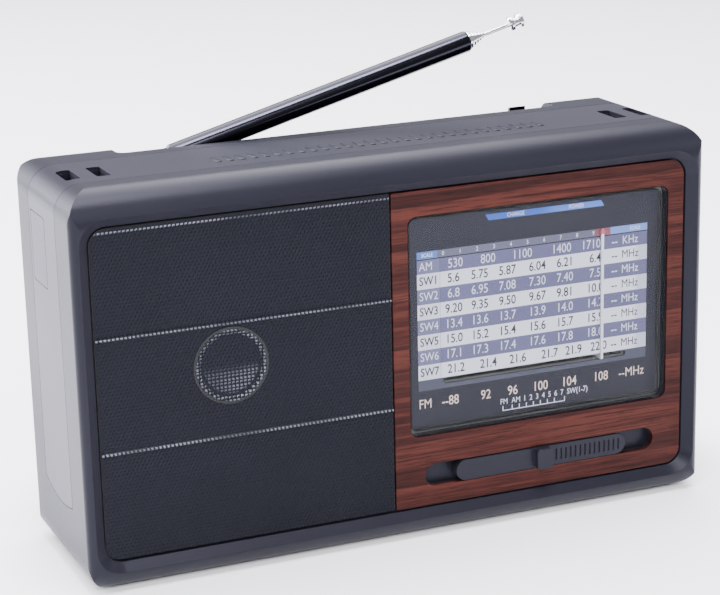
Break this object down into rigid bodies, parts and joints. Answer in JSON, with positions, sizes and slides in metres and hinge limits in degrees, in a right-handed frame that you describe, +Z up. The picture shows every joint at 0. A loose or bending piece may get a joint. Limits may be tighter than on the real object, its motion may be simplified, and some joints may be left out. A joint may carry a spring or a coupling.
{
  "type": "shortwave receiver",
  "caption": "Portable multi-band shortwave receiver with a dial window, band slider, thumbwheels, loudspeaker grille and a telescopic swivelling antenna.",
  "frame": {"origin": "middle of the flat underside that the case stands on", "axes": "+X to the listener's right along the front, +Y away from the listener, +Z up"},
  "size_m": [0.2185, 0.064, 0.158],
  "materials": {
    "case_plastic": "fine satin charcoal moulding",
    "band_plastic": "satin charcoal moulding",
    "wood_veneer": "lacquered reddish-brown veneer",
    "grille_metal": "fine perforated, black paint",
    "lens_acrylic": "clear moulded window",
    "dial_print": "screen-printed dial",
    "inner_plastic": "natural white moulding",
    "steel": "plated",
    "pointer_plastic": "white",
    "wheel_plastic": "knurled rim",
    "cord_fibre": "waxed braid",
    "slider_plastic": "satin",
    "board_laminate": "solder-masked laminate",
    "lamp_red": "tinted",
    "ferrite": "ground",
    "copper": "enamelled wire",
    "cone_paper": "pressed paper",
    "transformer_iron": "varnished laminations",
    "inlet_plastic": "moulded",
    "chrome": "polished plating"
  },
  "bodies": {
    "case": {"front_shell": "case_plastic", "back_shell": "case_plastic", "trim_band": "band_plastic", "side_cover": "band_plastic", "wood_panel": "wood_veneer", "speaker_grille": "grille_metal", "dial_lens": "lens_acrylic", "dial_plate": "dial_print", "chassis_plate": "inner_plastic", "pointer_rail": "steel", "tuning_capacitor": "inner_plastic", "tuning_axle": "steel", "volume_pot": "steel", "dial_cord": "cord_fibre", "band_switch": "steel", "main_board": "board_laminate", "board_screws": "steel", "case_screws": "steel", "led_lamps": "lamp_red", "ferrite_rod": "ferrite", "antenna_coil": "copper", "rod_holders": "inner_plastic", "speaker_frame": "steel", "speaker_cone": "cone_paper", "speaker_magnet": "ferrite", "transformer": "transformer_iron", "mains_inlet": "inlet_plastic", "earphone_socket": "inlet_plastic", "battery_terminals": "steel", "battery_spring": "steel", "antenna_clip": "case_plastic"},
    "door": {"battery_door": "case_plastic"},
    "pointer": {"dial_pointer": "pointer_plastic"},
    "drum": {"cord_drum": "inner_plastic"},
    "left_pulley": {"left_pulley": "inner_plastic"},
    "right_pulley": {"right_pulley": "inner_plastic"},
    "tuning_wheel": {"tuning_wheel": "wheel_plastic"},
    "volume_wheel": {"volume_wheel": "wheel_plastic"},
    "slider": {"band_slider": "slider_plastic"},
    "swivel": {"antenna_fork": "chrome", "antenna_rivet": "chrome", "swivel_washer": "chrome"},
    "tube_1": {"antenna_tube_1": "chrome"},
    "tube_2": {"antenna_tube_2": "chrome"},
    "tube_3": {"antenna_tube_3": "chrome"},
    "tube_4": {"antenna_tube_4": "chrome"},
    "tube_5": {"antenna_tube_5": "chrome"},
    "tube_6": {"antenna_tube_6": "chrome"},
    "tip_rod": {"antenna_rod": "chrome", "antenna_tip": "chrome"}
  },
  "joints": [
    {"name": "battery_door_pull", "type": "slide", "parent": "case", "child": "door", "axis": [0, 1, 0], "range_m": [0, 0.06]},
    {"name": "tuning_turn", "type": "hinge", "parent": "case", "child": "tuning_wheel", "pos_m": [0.093, -0.018, 0.088], "axis": [0, -1, 0], "range_deg": [-787.82, 42.97]},
    {"name": "pointer_travel", "type": "slide", "parent": "case", "child": "pointer", "axis": [1, 0, 0], "range_m": [-0.0551, 0.0031]},
    {"name": "drum_turn", "type": "hinge", "parent": "case", "child": "drum", "pos_m": [0.044, -0.018, 0.0745], "axis": [0, -1, 0], "range_deg": [-171.76, 9.84]},
    {"name": "left_pulley_turn", "type": "hinge", "parent": "case", "child": "left_pulley", "pos_m": [0.013, -0.018, 0.0505], "axis": [0, -1, 0], "range_deg": [-1051.42, 58.3]},
    {"name": "right_pulley_turn", "type": "hinge", "parent": "case", "child": "right_pulley", "pos_m": [0.0845, -0.018, 0.0505], "axis": [0, -1, 0], "range_deg": [-1051.42, 58.3]},
    {"name": "volume_turn", "type": "hinge", "parent": "case", "child": "volume_wheel", "pos_m": [0.0975, -0.012, 0.05], "axis": [0, -1, 0], "range_deg": [0, 290]},
    {"name": "band_select", "type": "slide", "parent": "case", "child": "slider", "axis": [1, 0, 0], "range_m": [-0.01, 0.01]},
    {"name": "antenna_swivel", "type": "hinge", "parent": "case", "child": "swivel", "pos_m": [-0.066, 0.025, 0.12], "axis": [0, 0, 1], "range_deg": [0, 120]},
    {"name": "antenna_tilt", "type": "hinge", "parent": "swivel", "child": "tube_1", "pos_m": [-0.066, 0.025, 0.12], "axis": [0, -1, 0], "range_deg": [-14.7, 75.3]},
    {"name": "tube_2_slide", "type": "slide", "parent": "tube_1", "child": "tube_2", "axis": [0.9673, 0, 0.2538], "range_m": [0, 0.095]},
    {"name": "tube_3_slide", "type": "slide", "parent": "tube_2", "child": "tube_3", "axis": [0.9673, 0, 0.2538], "range_m": [0, 0.095]},
    {"name": "tube_4_slide", "type": "slide", "parent": "tube_3", "child": "tube_4", "axis": [0.9673, 0, 0.2538], "range_m": [0, 0.095]},
    {"name": "tube_5_slide", "type": "slide", "parent": "tube_4", "child": "tube_5", "axis": [0.9673, 0, 0.2538], "range_m": [0, 0.095]},
    {"name": "tube_6_slide", "type": "slide", "parent": "tube_5", "child": "tube_6", "axis": [0.9673, 0, 0.2538], "range_m": [0, 0.095]},
    {"name": "tip_rod_slide", "type": "slide", "parent": "tube_6", "child": "tip_rod", "axis": [0.9673, 0, 0.2538], "range_m": [0, 0.095]}
  ],
  "couplings": [
    {"joint": "pointer_travel", "follows": "tuning_turn", "m_per_rad": 0.004},
    {"joint": "drum_turn", "follows": "tuning_turn", "ratio": 0.21739},
    {"joint": "left_pulley_turn", "follows": "tuning_turn", "ratio": 1.3333},
    {"joint": "right_pulley_turn", "follows": "tuning_turn", "ratio": 1.3333}
  ]
}
